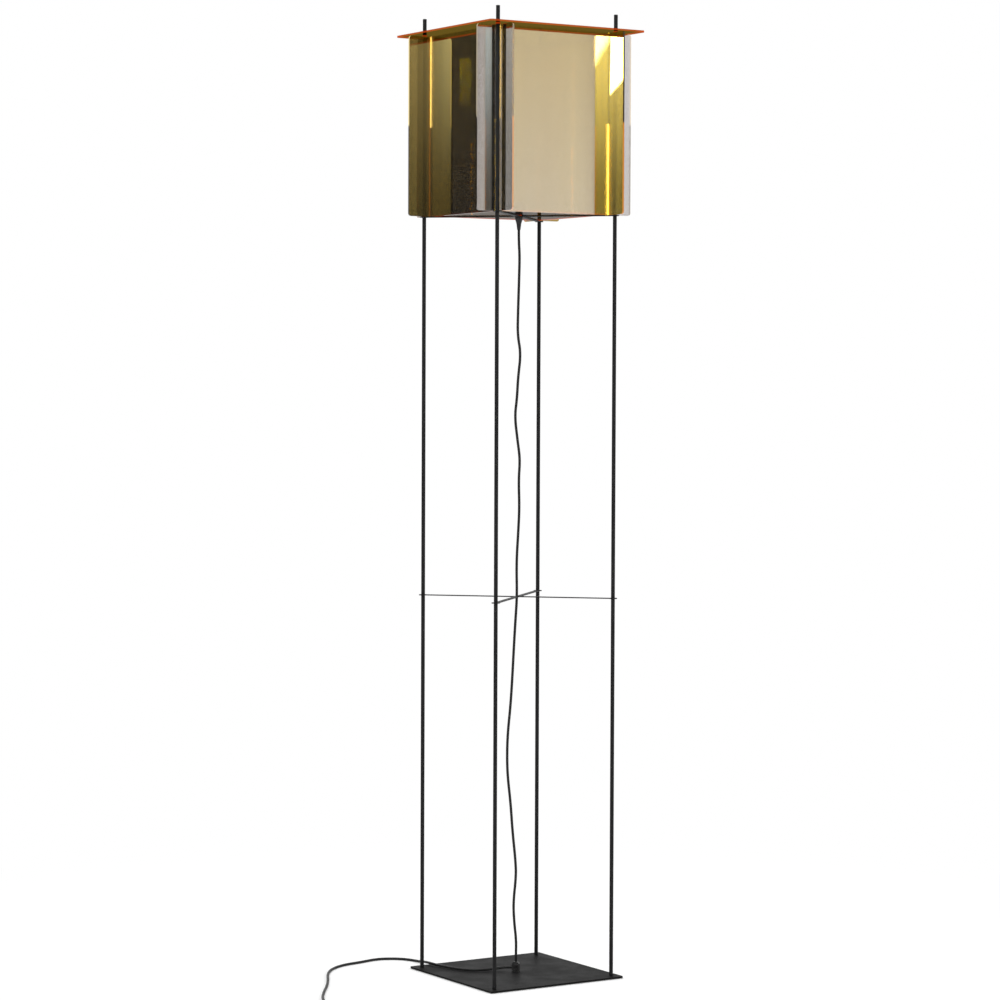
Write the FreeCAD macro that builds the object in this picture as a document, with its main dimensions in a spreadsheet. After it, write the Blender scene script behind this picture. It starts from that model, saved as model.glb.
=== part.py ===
"""Lantern floor lamp, millimetres, +Z up.

Four thin black rods stand on a square base plate and carry a lantern of four slotted acrylic
panels. Each rod is three lengths, and a flat cross brace is clamped at both joints between them.
The lamp head stands in the middle of the lantern, and its cord hangs down the middle of the stand
to an anchor on the base plate, then runs over the floor to a foot switch, a coil and a plug.

The origin is the middle of the underside. The front of the lamp faces -Y.
"""
import FreeCAD, Part
import math
import os

import Sketcher

V = FreeCAD.Vector

# ---------------------------------------------------------------- driving dimensions

drivingSizes = {
    # base
    "baseSide": 260,
    "baseThickness": 3,
    "baseCornerRadius": 3,
    "matInset": 4,
    "matThickness": 1,
    # rods, and the threads that join them
    "rodSpacing": 230,
    "rodDiameter": 6.5,
    "rodEndChamfer": 0.4,
    "lowerRodLength": 630,
    "middleRodLength": 633,
    "rodStubLength": 27,
    "threadDiameter": 4,
    "threadDepth": 12,
    "threadClearance": 0.1,
    "holeClearance": 0.3,
    "studLength": 20,
    "screwLength": 10,
    "screwHeadDiameter": 7.6,
    "hexKeySize": 2.5,
    "hexKeyDepth": 1.4,
    # cross braces
    "braceThickness": 1.5,
    "braceWidth": 8,
    "eyeDiameter": 14,
    "hubDiameter": 22,
    "cordHoleDiameter": 7.5,
    # lantern
    "panelSide": 300,
    "panelThickness": 3,
    "panelOffset": 107.5,
    "panelCornerRadius": 5,
    "slotClearance": 0.3,
    "slotEndGap": 1,
    "topSide": 300,
    "topThickness": 3,
    "topCornerRadius": 5,
    "topHoleClearance": 0.6,
    "floorThickness": 3,
    "floorClearance": 0.5,
    "floorCornerRadius": 2,
    # lamp head
    "headRadius": 14.3,
    "headHeight": 7,
    "headWall": 1.5,
    "ledgeWidth": 1.5,
    "boardThickness": 1.6,
    "boardDrop": 1,
    "boardClearance": 0.2,
    "chipSide": 3,
    "chipHeight": 0.7,
    "chipRingRadius": 7.5,
    # cord grip under the lantern
    "stemDiameter": 10,
    "stemClearance": 0.3,
    "gripDiameter": 13,
    "gripCollar": 3,
    "gripTaper": 8.5,
    "gripWaistDiameter": 8,
    "sleeveDiameter": 5.6,
    "sleeveLength": 10,
    "wireBoreDiameter": 5,
    "nutFlats": 14,
    "nutThickness": 2.2,
    # cord anchor on the base plate
    "anchorWidth": 12,
    "anchorLength": 9,
    "anchorDrumRadius": 6.5,
    "anchorDrumHeight": 10.5,
    "anchorFlat": 6,
    "anchorExitHeight": 6.5,
    "clampThread": 3,
    "clampDepth": 4,
    "clampHeadDiameter": 6,
    "clampHeadHeight": 1.8,
    "clampCrownDiameter": 4.2,
    "clampKeySize": 1.5,
    # cord, and the coil that its spare length is wound into
    "cordDiameter": 4.4,
    "coilInnerRadius": 18,
    "coilPitch": 5.8,
    "coilLayerRise": 5.4,
    "tieWidth": 8,
    "tieThickness": 0.7,
    "tieClearance": 0.4,
    # foot switch
    "switchLength": 62,
    "switchWidth": 36,
    "switchBaseHeight": 10,
    "switchCoverHeight": 9,
    "switchWall": 2,
    "switchCornerRadius": 6,
    "switchEdgeRadius": 1.8,
    "switchCordHeight": 5.2,
    "noseLength": 22,
    "noseDiameter": 9,
    "noseTipDiameter": 6,
    "bossReach": 24.5,
    "bossDiameter": 8,
    "switchScrewDiameter": 3,
    "switchScrewLength": 12,
    "switchScrewHead": 5.4,
    "switchScrewSink": 1.6,
    "buttonDiameter": 22,
    "buttonGap": 0.4,
    "buttonProud": 4,
    "buttonFlange": 1.5,
    "buttonFlangeReach": 1.4,
    "buttonTravel": 3,
    "contactLength": 20,
    "contactWidth": 14,
    "runningClearance": 0.3,
    # plug
    "plugWidth": 34,
    "plugBackWidth": 17,
    "plugHeight": 13.6,
    "plugLength": 33,
    "plugShoulder": 12,
    "plugEdgeRadius": 2,
    "plugRimRadius": 1.8,
    "plugReliefLength": 22,
    "plugReliefDiameter": 9,
    "plugReliefTipDiameter": 6,
    "pinDiameter": 4,
    "pinLength": 19,
    "pinSpacing": 19,
    "pinEmbed": 6,
}

doc = FreeCAD.newDocument("LanternFloorLamp")
sheet = doc.addObject("Spreadsheet::Sheet", "Sizes")
for row, (alias, number) in enumerate(drivingSizes.items(), start=1):
    sheet.set(f"A{row}", alias)
    sheet.set(f"B{row}", str(number))
    sheet.setAlias(f"B{row}", alias)
doc.recompute()


class Size:
    """A length: its value now, and the expression that gives it in the document."""

    def __init__(self, value, text):
        self.value = float(value)
        self.text = text

    def __add__(self, other):
        other = asSize(other)
        return Size(self.value + other.value, f"({self.text} + {other.text})")

    def __sub__(self, other):
        other = asSize(other)
        return Size(self.value - other.value, f"({self.text} - {other.text})")

    def __mul__(self, factor):
        return Size(self.value * factor, f"({self.text} * {factor})")

    def __truediv__(self, divisor):
        return Size(self.value / divisor, f"({self.text} / {divisor})")

    def __neg__(self):
        return Size(-self.value, f"(0 - {self.text})")


def asSize(number):
    return number if isinstance(number, Size) else Size(number, f"{number}")


def size(alias):
    return Size(sheet.get(alias), f"Sizes.{alias}")


zero = asSize(0)

# ---------------------------------------------------------------- levels and places

baseTop = size("matThickness") + size("baseThickness")
middleBraceBottom = baseTop + size("lowerRodLength")
middleRodBottom = middleBraceBottom + size("braceThickness")
lanternBraceBottom = middleRodBottom + size("middleRodLength")
lanternBottom = lanternBraceBottom + size("braceThickness")
lanternTop = lanternBottom + size("panelSide")
floorTop = lanternBottom + size("floorThickness")
upperRodLength = size("panelSide") + size("topThickness") + size("rodStubLength")

rodPlace = size("rodSpacing") / 2
eyePlace = size("rodSpacing") * math.sqrt(0.5)
cornerSigns = {
    "front_left": (-1, -1),
    "front_right": (1, -1),
    "back_left": (-1, 1),
    "back_right": (1, 1),
}

# ---------------------------------------------------------------- building tools

parts = []


def bind(thing, path, length):
    thing.setExpression(path, length.text)


def place(thing, x=zero, y=zero, z=zero, turn=0.0, tilt=0.0):
    """Put a piece at a place, tilted about its own X axis and then turned about Z."""
    rotation = FreeCAD.Rotation(V(0, 0, 1), turn) * FreeCAD.Rotation(V(1, 0, 0), tilt)
    thing.Placement = FreeCAD.Placement(V(0, 0, 0), rotation)
    bind(thing, "Placement.Base.x", x)
    bind(thing, "Placement.Base.y", y)
    bind(thing, "Placement.Base.z", z)


def newBody(name):
    body = doc.addObject("PartDesign::Body", name)
    body.Label = name
    return body


def newSketch(body, name, plane="XY_Plane", offset=zero, rise=zero):
    """Start a sketch on a plane of its body, moved along its normal and along its own Y."""
    sketch = body.newObject("Sketcher::SketchObject", f"{body.Name}_{name}")
    origin = next(item for item in body.Origin.OriginFeatures if item.Role == plane)
    sketch.AttachmentSupport = [(origin, "")]
    sketch.MapMode = "FlatFace"
    bind(sketch, "AttachmentOffset.Base.y", rise)
    bind(sketch, "AttachmentOffset.Base.z", offset)
    return sketch


def fixPoint(sketch, geometry, vertex, x, y):
    """Hold a vertex at a place that is measured from the sketch's origin."""
    for kind, length, axis in (("DistanceX", x, -2), ("DistanceY", y, -1)):
        if length.value == 0:
            sketch.addConstraint(Sketcher.Constraint("PointOnObject", geometry, vertex, axis))
        else:
            held = Sketcher.Constraint(kind, -1, 1, geometry, vertex, length.value)
            bind(sketch, f"Constraints[{sketch.addConstraint(held)}]", length)


def polygon(sketch, corners):
    """Draw a closed outline whose corners are pairs of lengths."""
    corners = [(asSize(x), asSize(y)) for x, y in corners]
    ends = [V(x.value, y.value, 0) for x, y in corners]
    lines = []
    for start, end in zip(ends, ends[1:] + ends[:1]):
        lines.append(sketch.addGeometry(Part.LineSegment(start, end), False))
    for line, following in zip(lines, lines[1:] + lines[:1]):
        sketch.addConstraint(Sketcher.Constraint("Coincident", line, 2, following, 1))
    for line, (x, y) in zip(lines, corners):
        fixPoint(sketch, line, 1, x, y)


def rectangle(sketch, left, low, right, high):
    polygon(sketch, [(left, low), (right, low), (right, high), (left, high)])


def circle(sketch, diameter, x=zero, y=zero):
    ring = sketch.addGeometry(Part.Circle(V(x.value, y.value, 0), V(0, 0, 1), diameter.value / 2), False)
    held = Sketcher.Constraint("Diameter", ring, diameter.value)
    bind(sketch, f"Constraints[{sketch.addConstraint(held)}]", diameter)
    fixPoint(sketch, ring, 3, x, y)


def hexagon(sketch, flats):
    """Draw a regular hexagon by its size across flats."""
    reach = flats / math.sqrt(3)
    rise = flats / 2
    polygon(sketch, [
        (reach, zero),
        (reach / 2, rise),
        (-reach / 2, rise),
        (-reach, zero),
        (-reach / 2, -rise),
        (reach / 2, -rise),
    ])


def pad(sketch, length, reverse=False):
    feature = sketch.getParentGeoFeatureGroup().newObject("PartDesign::Pad", f"{sketch.Name}_pad")
    feature.Profile = sketch
    feature.Reversed = reverse
    bind(feature, "Length", length)
    sketch.Visibility = False
    return feature


def pocket(sketch, depth, reverse=False):
    """Cut against the sketch's normal, or along it where reverse is set."""
    feature = sketch.getParentGeoFeatureGroup().newObject("PartDesign::Pocket", f"{sketch.Name}_cut")
    feature.Profile = sketch
    feature.Reversed = reverse
    bind(feature, "Length", depth)
    return feature


def revolve(sketch, axis="V_Axis"):
    body = sketch.getParentGeoFeatureGroup()
    feature = body.newObject("PartDesign::Revolution", f"{sketch.Name}_turned")
    feature.Profile = sketch
    feature.ReferenceAxis = (sketch, [axis])
    feature.Angle = 360
    return feature


def edgesAlong(feature, direction):
    names = []
    for number, edge in enumerate(feature.Shape.Edges, start=1):
        straight = isinstance(edge.Curve, Part.Line)
        if straight and abs(abs(edge.tangentAt(edge.FirstParameter) * direction) - 1) < 1e-6:
            names.append(f"Edge{number}")
    return names


def ringsAt(feature, level, diameter):
    """Names of the round edges of one diameter at one height."""
    names = []
    for number, edge in enumerate(feature.Shape.Edges, start=1):
        if not isinstance(edge.Curve, Part.Circle):
            continue
        sameSize = abs(edge.Curve.Radius - diameter.value / 2) < 1e-4
        if sameSize and abs(edge.Curve.Center.z - level.value) < 1e-4:
            names.append(f"Edge{number}")
    return names


def edgesAtLevel(feature, level):
    """Names of the edges that lie flat at one height."""
    names = []
    for number, edge in enumerate(feature.Shape.Edges, start=1):
        box = edge.BoundBox
        if abs(box.ZMin - level.value) < 1e-4 and abs(box.ZMax - level.value) < 1e-4:
            names.append(f"Edge{number}")
    return names


def fillet(feature, names, radius):
    dressed = feature.getParentGeoFeatureGroup().newObject("PartDesign::Fillet", f"{feature.Name}_fillet")
    dressed.Base = (feature, names)
    bind(dressed, "Radius", radius)
    doc.recompute()
    return dressed


def chamfer(feature, names, width):
    dressed = feature.getParentGeoFeatureGroup().newObject("PartDesign::Chamfer", f"{feature.Name}_chamfer")
    dressed.Base = (feature, names)
    bind(dressed, "Size", width)
    doc.recompute()
    return dressed


def group(name, members):
    compound = doc.addObject("Part::Compound", name)
    compound.Label = name
    compound.Links = members
    parts.append(compound)


# ---------------------------------------------------------------- base

def makeBaseMat():
    """Thin felt sheet under the base plate, which hides the screw heads."""
    body = newBody("base_mat")
    half = size("baseSide") / 2 - size("matInset")
    outline = newSketch(body, "outline")
    rectangle(outline, -half, -half, half, half)
    pad(outline, size("matThickness"))
    parts.append(body)


def makeBasePlate():
    body = newBody("base_plate")
    half = size("baseSide") / 2
    outline = newSketch(body, "outline")
    rectangle(outline, -half, -half, half, half)
    slab = pad(outline, size("baseThickness"))
    doc.recompute()
    slab = fillet(slab, edgesAlong(slab, V(0, 0, 1)), size("baseCornerRadius"))
    holeDiameter = size("threadDiameter") + size("holeClearance")
    holes = newSketch(body, "holes", offset=size("baseThickness"))
    circle(holes, holeDiameter)
    for alongX, alongY in cornerSigns.values():
        circle(holes, holeDiameter, rodPlace * alongX, rodPlace * alongY)
    drilled = pocket(holes, size("baseThickness"))
    doc.recompute()
    sink = (size("screwHeadDiameter") + size("threadClearance") - size("threadDiameter")) / 2
    chamfer(drilled, ringsAt(drilled, zero, holeDiameter), sink)
    place(body, z=size("matThickness"))
    parts.append(body)


def makeBaseScrews():
    """Countersunk screws: one up into each rod, and one into the cord anchor."""
    screws = []
    places = [(0, 0)] + list(cornerSigns.values())
    for number, (alongX, alongY) in enumerate(places, start=1):
        body = newBody(f"base_screw_{number}")
        headRadius = size("screwHeadDiameter") / 2
        shankRadius = size("threadDiameter") / 2
        half = newSketch(body, "half", "XZ_Plane")
        polygon(half, [
            (zero, zero),
            (headRadius, zero),
            (shankRadius, headRadius - shankRadius),
            (shankRadius, size("screwLength")),
            (zero, size("screwLength")),
        ])
        revolve(half)
        key = newSketch(body, "key")
        hexagon(key, size("hexKeySize"))
        pocket(key, size("hexKeyDepth"), reverse=True)
        place(body, rodPlace * alongX, rodPlace * alongY, size("matThickness"))
        screws.append(body)
    group("base_screws", screws)


# ---------------------------------------------------------------- rods and braces

def makeRod(name, length, bottom, signs, threadedTop):
    """Round bar, tapped at its foot, and at its head where another rod follows."""
    body = newBody(name)
    section = newSketch(body, "section")
    circle(section, size("rodDiameter"))
    bar = pad(section, length)
    doc.recompute()
    ends = ringsAt(bar, zero, size("rodDiameter")) + ringsAt(bar, length, size("rodDiameter"))
    chamfer(bar, ends, size("rodEndChamfer"))
    tapping = size("threadDiameter") + size("threadClearance")
    foot = newSketch(body, "foot")
    circle(foot, tapping)
    pocket(foot, size("threadDepth"), reverse=True)
    if threadedTop:
        head = newSketch(body, "head", offset=length)
        circle(head, tapping)
        pocket(head, size("threadDepth"))
    place(body, rodPlace * signs[0], rodPlace * signs[1], bottom)
    parts.append(body)


def makeRods():
    for corner, signs in cornerSigns.items():
        makeRod(f"lower_rod_{corner}", size("lowerRodLength"), baseTop, signs, True)
        makeRod(f"middle_rod_{corner}", size("middleRodLength"), middleRodBottom, signs, True)
        makeRod(f"upper_rod_{corner}", upperRodLength, lanternBottom, signs, False)


def makeStuds(name, middle):
    """Headless threaded studs, each half in the rod below and half in the rod above."""
    studs = []
    for corner, (alongX, alongY) in cornerSigns.items():
        stud = doc.addObject("Part::Cylinder", f"{name}_{corner}")
        bind(stud, "Radius", size("threadDiameter") / 2)
        bind(stud, "Height", size("studLength"))
        place(stud, rodPlace * alongX, rodPlace * alongY, middle - size("studLength") / 2)
        studs.append(stud)
    group(name, studs)


def makeBrace(name, bottom, hubDiameter, holeDiameter):
    """Flat cross cut from sheet: two strips along the diagonals, with an eye at each end."""
    body = newBody(name)
    halfWidth = size("braceWidth") / 2
    thickness = size("braceThickness")
    across = newSketch(body, "across")
    rectangle(across, -eyePlace, -halfWidth, eyePlace, halfWidth)
    pad(across, thickness)
    along = newSketch(body, "along")
    rectangle(along, -halfWidth, -eyePlace, halfWidth, eyePlace)
    pad(along, thickness)
    eyeCentres = [(eyePlace, zero), (zero, eyePlace), (-eyePlace, zero), (zero, -eyePlace)]
    eyes = newSketch(body, "eyes")
    for x, y in eyeCentres:
        circle(eyes, size("eyeDiameter"), x, y)
    if hubDiameter is not None:
        circle(eyes, hubDiameter)
    pad(eyes, thickness)
    holes = newSketch(body, "holes", offset=thickness)
    for x, y in eyeCentres:
        circle(holes, size("threadDiameter") + size("holeClearance"), x, y)
    circle(holes, holeDiameter)
    pocket(holes, thickness)
    place(body, z=bottom, turn=45)
    parts.append(body)


# ---------------------------------------------------------------- lantern

def makePanel(name, x, y, turn, slotsAtTop):
    """Square acrylic sheet on edge with two half-height slots that take the sheets it crosses."""
    body = newBody(name)
    half = size("panelSide") / 2
    thickness = size("panelThickness")
    face = newSketch(body, "face", "XZ_Plane", offset=-thickness / 2)
    rectangle(face, -half, zero, half, size("panelSide"))
    sheetPad = pad(face, thickness)
    doc.recompute()
    fillet(sheetPad, edgesAlong(sheetPad, V(0, 1, 0)), size("panelCornerRadius"))
    halfSlot = thickness / 2 + size("slotClearance")
    slots = newSketch(body, "slots", "XZ_Plane", offset=-thickness / 2)
    for side in (-1, 1):
        middle = size("panelOffset") * side
        if slotsAtTop:
            low = half - size("slotEndGap") / 2
            high = size("panelSide") + size("panelThickness")
        else:
            low = -size("panelThickness")
            high = half + size("slotEndGap") / 2
        rectangle(slots, middle - halfSlot, low, middle + halfSlot, high)
    pocket(slots, thickness, reverse=True)
    place(body, x, y, lanternBottom, turn=turn)
    parts.append(body)


def makePanels():
    offset = size("panelOffset")
    makePanel("front_panel", zero, -offset, 0, slotsAtTop=False)
    makePanel("back_panel", zero, offset, 0, slotsAtTop=False)
    makePanel("left_panel", -offset, zero, 90, slotsAtTop=True)
    makePanel("right_panel", offset, zero, 90, slotsAtTop=True)


def makeTopPlate():
    """Acrylic sheet that rests on the panels' top edges, threaded over the four rods."""
    body = newBody("top_plate")
    half = size("topSide") / 2
    outline = newSketch(body, "outline")
    rectangle(outline, -half, -half, half, half)
    slab = pad(outline, size("topThickness"))
    doc.recompute()
    fillet(slab, edgesAlong(slab, V(0, 0, 1)), size("topCornerRadius"))
    holes = newSketch(body, "holes", offset=size("topThickness"))
    holeDiameter = size("rodDiameter") + size("topHoleClearance") * 2
    for alongX, alongY in cornerSigns.values():
        circle(holes, holeDiameter, rodPlace * alongX, rodPlace * alongY)
    pocket(holes, size("topThickness"))
    place(body, z=lanternTop)
    parts.append(body)


def makeFloorPlate():
    """Acrylic floor of the lantern, dropped in between the panels onto the brace."""
    body = newBody("floor_plate")
    half = size("panelOffset") - size("panelThickness") / 2 - size("floorClearance")
    outline = newSketch(body, "outline")
    rectangle(outline, -half, -half, half, half)
    slab = pad(outline, size("floorThickness"))
    doc.recompute()
    fillet(slab, edgesAlong(slab, V(0, 0, 1)), size("floorCornerRadius"))
    hole = newSketch(body, "hole", offset=size("floorThickness"))
    circle(hole, size("stemDiameter") + size("stemClearance") * 2)
    pocket(hole, size("floorThickness"))
    place(body, z=lanternBottom)
    parts.append(body)


# ---------------------------------------------------------------- lamp head

boardLevel = size("headHeight") - size("boardDrop") - size("boardThickness")
ringChipCount = 6


def makeHeadBase():
    """Turned cup that stands on the lantern's floor and holds the light board on a ledge."""
    body = newBody("lamp_head_base")
    outer = size("headRadius")
    inner = outer - size("headWall")
    ledge = inner - size("ledgeWidth")
    hole = size("stemDiameter") / 2 + size("stemClearance")
    half = newSketch(body, "half", "XZ_Plane")
    polygon(half, [
        (hole, zero),
        (outer, zero),
        (outer, size("headHeight")),
        (inner, size("headHeight")),
        (inner, boardLevel),
        (ledge, boardLevel),
        (ledge, size("headWall")),
        (hole, size("headWall")),
    ])
    revolve(half)
    place(body, z=floorTop)
    parts.append(body)


def makeBoard():
    """Round light board with a ring of emitters and one in the middle."""
    body = newBody("light_board")
    diameter = (size("headRadius") - size("headWall") - size("boardClearance")) * 2
    disc = newSketch(body, "disc")
    circle(disc, diameter)
    pad(disc, size("boardThickness"))
    halfChip = size("chipSide") / 2
    middle = newSketch(body, "middle_chip", offset=size("boardThickness"))
    rectangle(middle, -halfChip, -halfChip, halfChip, halfChip)
    pad(middle, size("chipHeight"))
    ring = newSketch(body, "ring_chip", offset=size("boardThickness"))
    reach = size("chipRingRadius")
    rectangle(ring, reach - halfChip, -halfChip, reach + halfChip, halfChip)
    chip = pad(ring, size("chipHeight"))
    doc.recompute()
    chips = body.newObject("PartDesign::PolarPattern", "light_board_chips")
    chips.Originals = [chip]
    chips.Axis = (ring, ["N_Axis"])
    chips.Angle = 360
    chips.Occurrences = ringChipCount
    body.Tip = chips
    place(body, z=floorTop + boardLevel)
    parts.append(body)


def makeDome():
    """Half-round diffuser shell on the rim of the cup."""
    outside = doc.addObject("Part::Sphere", "dome_outside")
    bind(outside, "Radius", size("headRadius"))
    outside.Angle1 = 0
    inside = doc.addObject("Part::Sphere", "dome_inside")
    bind(inside, "Radius", size("headRadius") - size("headWall"))
    dome = doc.addObject("Part::Cut", "lamp_dome")
    dome.Label = "lamp_dome"
    dome.Base = outside
    dome.Tool = inside
    place(dome, z=floorTop + size("headHeight"))
    parts.append(dome)


def makeCordGrip():
    """Cord grip: a threaded stem up through the brace, the floor and the cup, and below the
    brace a collar, a taper and a soft sleeve round the cord."""
    body = newBody("cord_grip")
    stemTop = size("braceThickness") + size("floorThickness") + boardLevel - size("boardClearance")
    taperEnd = -(size("gripCollar") + size("gripTaper"))
    sleeveEnd = taperEnd - size("sleeveLength")
    bore = size("wireBoreDiameter") / 2
    half = newSketch(body, "half", "XZ_Plane")
    polygon(half, [
        (zero, sleeveEnd),
        (size("sleeveDiameter") / 2, sleeveEnd),
        (size("gripWaistDiameter") / 2, taperEnd),
        (size("gripDiameter") / 2, -size("gripCollar")),
        (size("gripDiameter") / 2, zero),
        (size("stemDiameter") / 2, zero),
        (size("stemDiameter") / 2, stemTop),
        (bore, stemTop),
        (bore, taperEnd),
        (zero, taperEnd),
    ])
    revolve(half)
    place(body, z=lanternBraceBottom)
    parts.append(body)


gripBottom = lanternBraceBottom - size("gripCollar") - size("gripTaper") - size("sleeveLength")


def makeGripNut():
    body = newBody("grip_nut")
    outline = newSketch(body, "outline")
    hexagon(outline, size("nutFlats"))
    pad(outline, size("nutThickness"))
    hole = newSketch(body, "hole", offset=size("nutThickness"))
    circle(hole, size("stemDiameter") + size("threadClearance"))
    pocket(hole, size("nutThickness"))
    place(body, z=floorTop + size("headWall"))
    parts.append(body)


# ---------------------------------------------------------------- cord anchor

anchorTurn = -45.0
anchorTop = baseTop + size("anchorDrumHeight") + size("anchorFlat")
anchorExit = baseTop + size("anchorExitHeight")


def makeAnchor():
    """Block with a round head that clamps the cord in the middle of the base plate. The cord
    goes in at the flat on its top and comes out of the flat on its left side."""
    body = newBody("cord_anchor")
    halfWidth = size("anchorWidth") / 2
    length = size("anchorLength")
    drumHeight = size("anchorDrumHeight")
    flat = size("anchorFlat")
    radius = size("anchorDrumRadius")
    foot = newSketch(body, "foot", "XZ_Plane", offset=-length / 2)
    rectangle(foot, -halfWidth, zero, halfWidth, drumHeight)
    pad(foot, length)
    drum = newSketch(body, "drum", "XZ_Plane", offset=-length / 2)
    circle(drum, radius * 2, zero, drumHeight)
    pad(drum, length)
    flats = newSketch(body, "flats", "XZ_Plane", offset=-length / 2)
    rectangle(flats, -radius, drumHeight + flat, radius, drumHeight + radius * 2)
    for side in (-1, 1):
        outside = (radius * 2) * side
        inside = flat * side
        left, right = (outside, inside) if side < 0 else (inside, outside)
        rectangle(flats, left, drumHeight - radius, right, drumHeight + flat - size("threadClearance"))
    pocket(flats, length, reverse=True)
    tapped = newSketch(body, "tapped")
    circle(tapped, size("threadDiameter") + size("threadClearance"))
    pocket(tapped, size("screwLength") - size("baseThickness") + size("holeClearance"), reverse=True)
    clamp = newSketch(body, "clamp", "XZ_Plane", offset=length / 2)
    circle(clamp, size("clampThread") + size("threadClearance"), zero, drumHeight)
    pocket(clamp, size("clampDepth") + size("holeClearance"))
    place(body, z=baseTop, turn=anchorTurn)
    parts.append(body)


def makeClampScrew():
    """Round-headed screw in the anchor's face, which pinches the cord inside it."""
    body = newBody("anchor_clamp_screw")
    headRadius = size("clampHeadDiameter") / 2
    shankRadius = size("clampThread") / 2
    half = newSketch(body, "half", "XZ_Plane")
    polygon(half, [
        (zero, -size("clampDepth")),
        (shankRadius, -size("clampDepth")),
        (shankRadius, zero),
        (headRadius, zero),
        (headRadius, size("clampHeadHeight") / 2),
        (size("clampCrownDiameter") / 2, size("clampHeadHeight")),
        (zero, size("clampHeadHeight")),
    ])
    revolve(half)
    key = newSketch(body, "key", offset=size("clampHeadHeight"))
    hexagon(key, size("clampKeySize"))
    pocket(key, size("clampHeadHeight") / 2)
    reach = size("anchorLength") / 2 * math.sqrt(0.5)
    place(body, -reach, -reach, baseTop + size("anchorDrumHeight"), turn=anchorTurn, tilt=90)
    parts.append(body)


# ---------------------------------------------------------------- cord

cordRadius = size("cordDiameter").value / 2
switchTurn = -80.0
switchX = asSize(-395)
switchY = asSize(-225)
switchHalf = size("switchLength") / 2 + size("noseLength")
coilX = -300.0
coilY = -283.0
coilTurns = 6.0
climbTurns = 0.5
plugX = asSize(-214)

# Straight runs of cord beside the switch, the coil and the plug.
switchInRun = 24
switchOutRun = 16
coilInRun = 14
coilOutRun = 12
plugRun = 10
arcShare = 0.45

# The drop wavers a little, as cord does that has been wound up, and bows to the left low down.
dropPoints = [
    (0.0, 0.0, 1229),
    (1.7, -0.4, 1203),
    (0.1, -1.0, 1160),
    (-0.4, 0.9, 1108),
    (-0.5, 1.8, 1072),
    (3.8, -1.9, 1041),
    (-0.8, -0.5, 1000),
    (-2.2, 0.0, 967),
    (-4.6, 3.2, 936),
    (0.2, 1.4, 895),
    (3.2, -1.7, 864),
    (0.6, -1.5, 830),
    (2.2, -1.9, 785),
    (1.5, 0.2, 744),
    (-1.2, 1.5, 692),
    (-0.7, 0.1, 635),
    (-3.0, 0.6, 598),
    (-4.4, 2.4, 560),
    (-5.8, 5.0, 505),
    (-8.2, 6.9, 452),
    (-13.1, 8.1, 404),
    (-14.4, 7.6, 362),
    (-12.8, 7.5, 330),
    (-7.9, 6.1, 288),
    (-4.7, 4.9, 240),
    (-1.0, 1.1, 192),
    (-0.6, -0.6, 165),
    (-4.3, 2.2, 120),
    (-2.3, 2.4, 88),
    (0.5, 0.0, 56),
    (0.0, 0.0, 33),
]

# Over the base plate to its back edge, round on the floor to the left, and forward to the switch.
floorPoints = [
    (-14.5, 14.5, 10.5),
    (-32, 22, 7.2),
    (-60, 30, 6.5),
    (-80, 54, 6.6),
    (-92, 104, 6.8),
    (-96, 134, 7.8),
    (-88, 164, 2.6),
    (-96, 197, 2.4),
    (-116, 217, 2.3),
    (-142, 225, 2.4),
    (-178, 214, 2.3),
    (-214, 208, 2.4),
    (-249, 187, 2.3),
    (-277, 152, 2.4),
    (-301, 107, 2.3),
    (-329, 60, 2.4),
    (-361, 14, 2.3),
    (-391, -35, 2.4),
    (-409, -90, 2.5),
    (-410, -130, 3.6),
]

leadPoints = [
    (-372.8, -306.6, 4.4),
    (-357.7, -314.6, 3.6),
    (-340, -317.2, 3.3),
]

tailPoints = [
    (-268, -317.5, 7.9),
    (-254, -316.9, 7.1),
]


def bentPath(name, points):
    """Straight runs joined by tangent arcs, each as large as its two runs allow."""
    points = [V(*point) for point in points]
    edges = []
    radii = []
    start = points[0]
    for before, corner, after in zip(points, points[1:], points[2:]):
        inward = (corner - before).normalize()
        outward = (after - corner).normalize()
        turn = inward.getAngle(outward)
        reach = arcShare * min(corner.distanceToPoint(before), corner.distanceToPoint(after))
        radius = reach / math.tan(turn / 2)
        arcStart = corner - inward * reach
        arcEnd = corner + outward * reach
        bisector = (outward - inward).normalize()
        arcMiddle = corner + bisector * (radius / math.cos(turn / 2) - radius)
        edges.append(Part.LineSegment(start, arcStart).toShape())
        edges.append(Part.Arc(arcStart, arcMiddle, arcEnd).toShape())
        radii.append(radius)
        start = arcEnd
    edges.append(Part.LineSegment(start, points[-1]).toShape())
    print(f"{name}: least radius {min(radii):.1f}, radii {[round(radius) for radius in radii]}")
    return Part.Wire(edges)


def addTube(name, path):
    """Round cord swept along a path, with its volume compared with section times length."""
    start = path.OrderedEdges[0]
    ring = Part.Circle(start.valueAt(start.FirstParameter), start.tangentAt(start.FirstParameter), cordRadius)
    tube = path.makePipeShell([Part.Wire(ring.toShape())], True, False)
    expected = math.pi * cordRadius ** 2 * path.Length
    print(f"{name}: length {path.Length:.1f}, volume {tube.Volume / expected:.4f} of section times length")
    if abs(tube.Volume / expected - 1) > 0.01:
        raise RuntimeError(f"{name} has the wrong volume")
    cord = doc.addObject("Part::Feature", name)
    cord.Label = name
    cord.Shape = tube
    cord.Placement = FreeCAD.Placement()
    parts.append(cord)


def switchEnd(side):
    """Where the cord meets the foot switch, and the direction out of it there."""
    heading = V(math.cos(math.radians(switchTurn)), math.sin(math.radians(switchTurn)), 0) * side
    middle = V(switchX.value, switchY.value, size("switchCordHeight").value)
    return middle + heading * switchHalf.value, heading


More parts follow.
